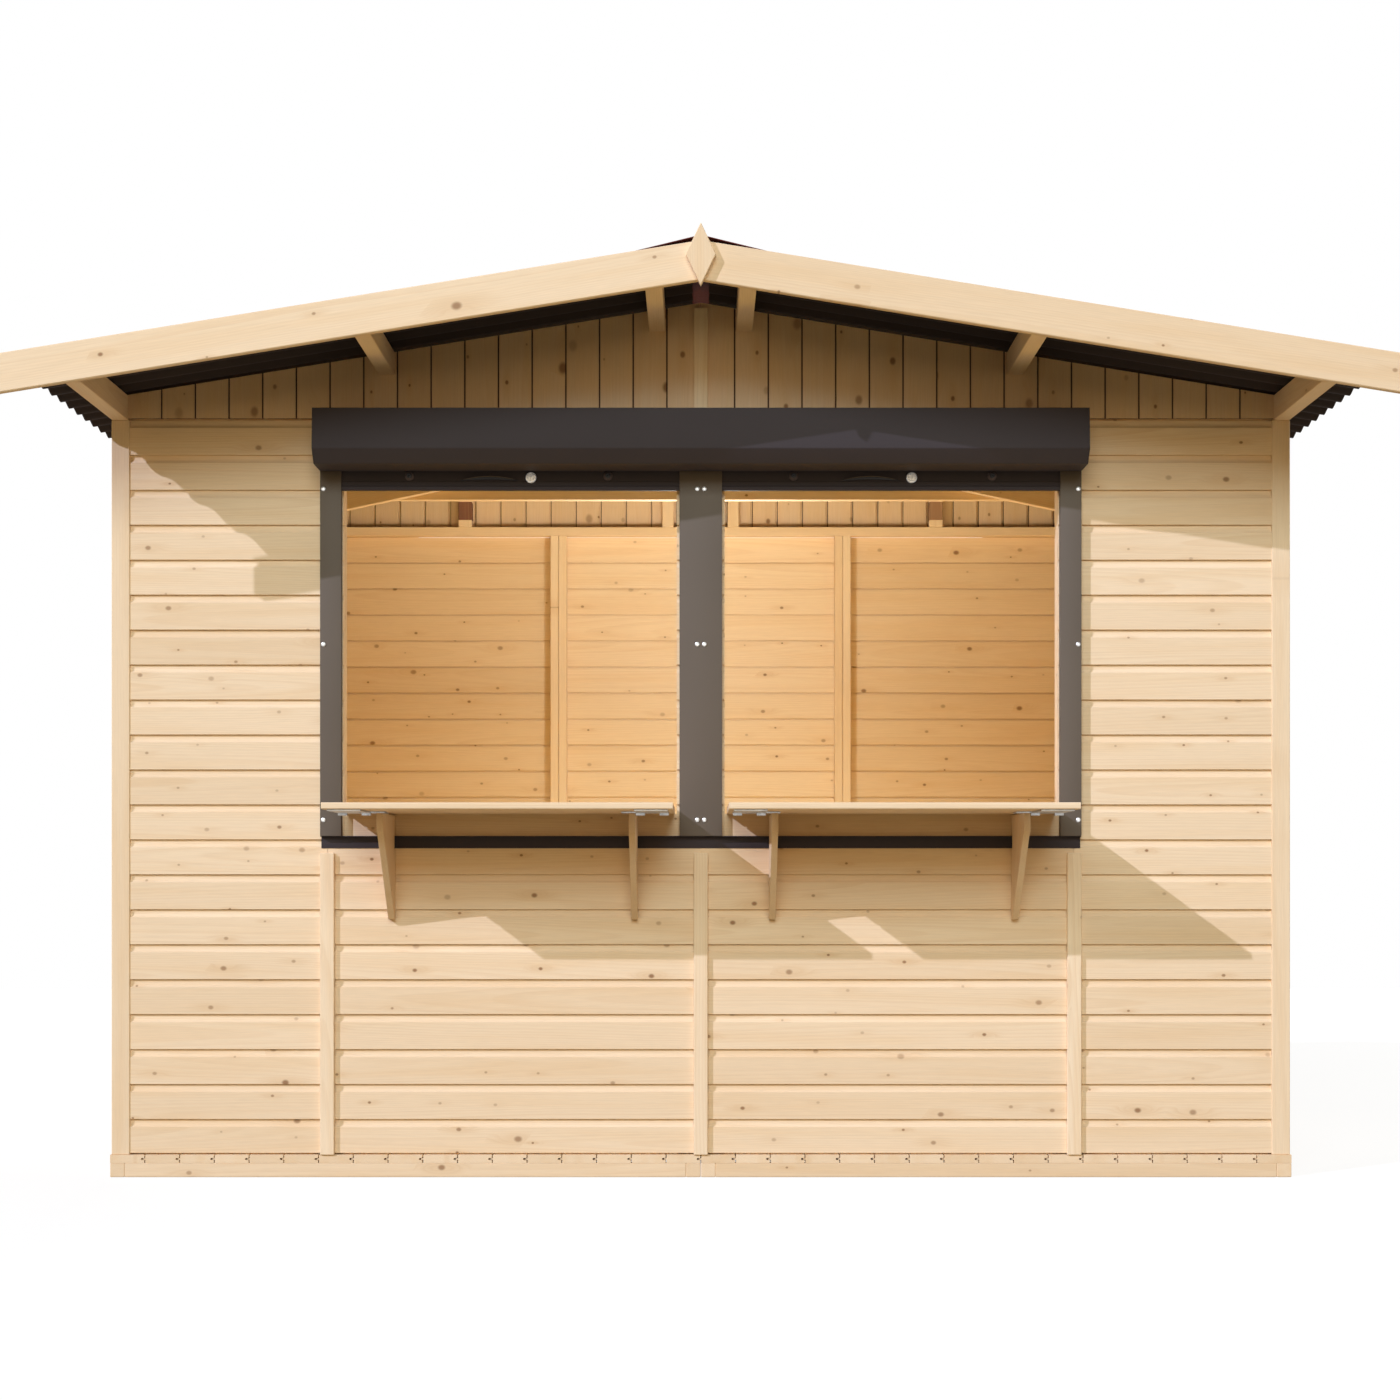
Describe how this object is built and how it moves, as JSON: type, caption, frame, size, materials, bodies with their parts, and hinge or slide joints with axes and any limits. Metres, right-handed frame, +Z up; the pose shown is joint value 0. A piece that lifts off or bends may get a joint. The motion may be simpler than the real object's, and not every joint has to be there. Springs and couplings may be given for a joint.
{
  "type": "wooden market stall",
  "caption": "Boarded timber market stall with shuttered serving hatches, bracketed counters, raised floor and a low corrugated saddle roof with bargeboards.",
  "frame": {"origin": "on the ground, under the middle of the stall", "axes": "+X to the right seen from the serving front, +Y from the front to the back, +Z up"},
  "size_m": [3.38, 2.906, 2.2926],
  "materials": {
    "wall_boards": "planed spruce",
    "gable_boards": "planed spruce",
    "trim_timber": "planed spruce",
    "frame_timber": "planed spruce",
    "floor_boards": "planed spruce",
    "counter_boards": "planed spruce",
    "stained_block": "stained",
    "roof_sheet": "matt",
    "shutter_metal": "powder coat",
    "stop_rubber": "matt",
    "lock_steel": "brushed",
    "catch_metal": "zinc"
  },
  "bodies": {
    "root": {"floor_bearers": "frame_timber", "floor_rails": "frame_timber", "floor_deck": "floor_boards", "front_panel_left": "wall_boards", "front_panel_right": "wall_boards", "hatch_panel_left": "wall_boards", "hatch_panel_right": "wall_boards", "front_studs": "frame_timber", "hatch_rails": "frame_timber", "back_panel_left": "wall_boards", "back_panel_middle": "wall_boards", "back_panel_right": "wall_boards", "back_studs": "frame_timber", "side_wall_left": "wall_boards", "side_wall_right": "wall_boards", "side_studs": "frame_timber", "corner_trims": "trim_timber", "front_battens": "trim_timber", "back_battens": "trim_timber", "front_gable_left": "gable_boards", "front_gable_right": "gable_boards", "back_gable_left": "gable_boards", "back_gable_right": "gable_boards", "gable_battens": "trim_timber", "gable_rails": "frame_timber", "gable_posts": "frame_timber", "purlin_blocks": "stained_block", "purlins": "frame_timber", "truss_rafters": "frame_timber", "truss_tie": "frame_timber", "roof_sheet_left": "roof_sheet", "roof_sheet_right": "roof_sheet", "ridge_cap": "roof_sheet", "front_bargeboards": "trim_timber", "back_bargeboards": "trim_timber", "front_finial": "trim_timber", "back_finial": "trim_timber", "shutter_box": "shutter_metal", "guide_rails": "shutter_metal", "shutter_sill": "shutter_metal", "end_slats": "shutter_metal", "slat_stops": "stop_rubber", "slat_locks": "lock_steel", "slat_pulls": "stop_rubber", "counters": "counter_boards", "brackets": "counter_boards", "catches": "catch_metal"}
  },
  "joints": []
}
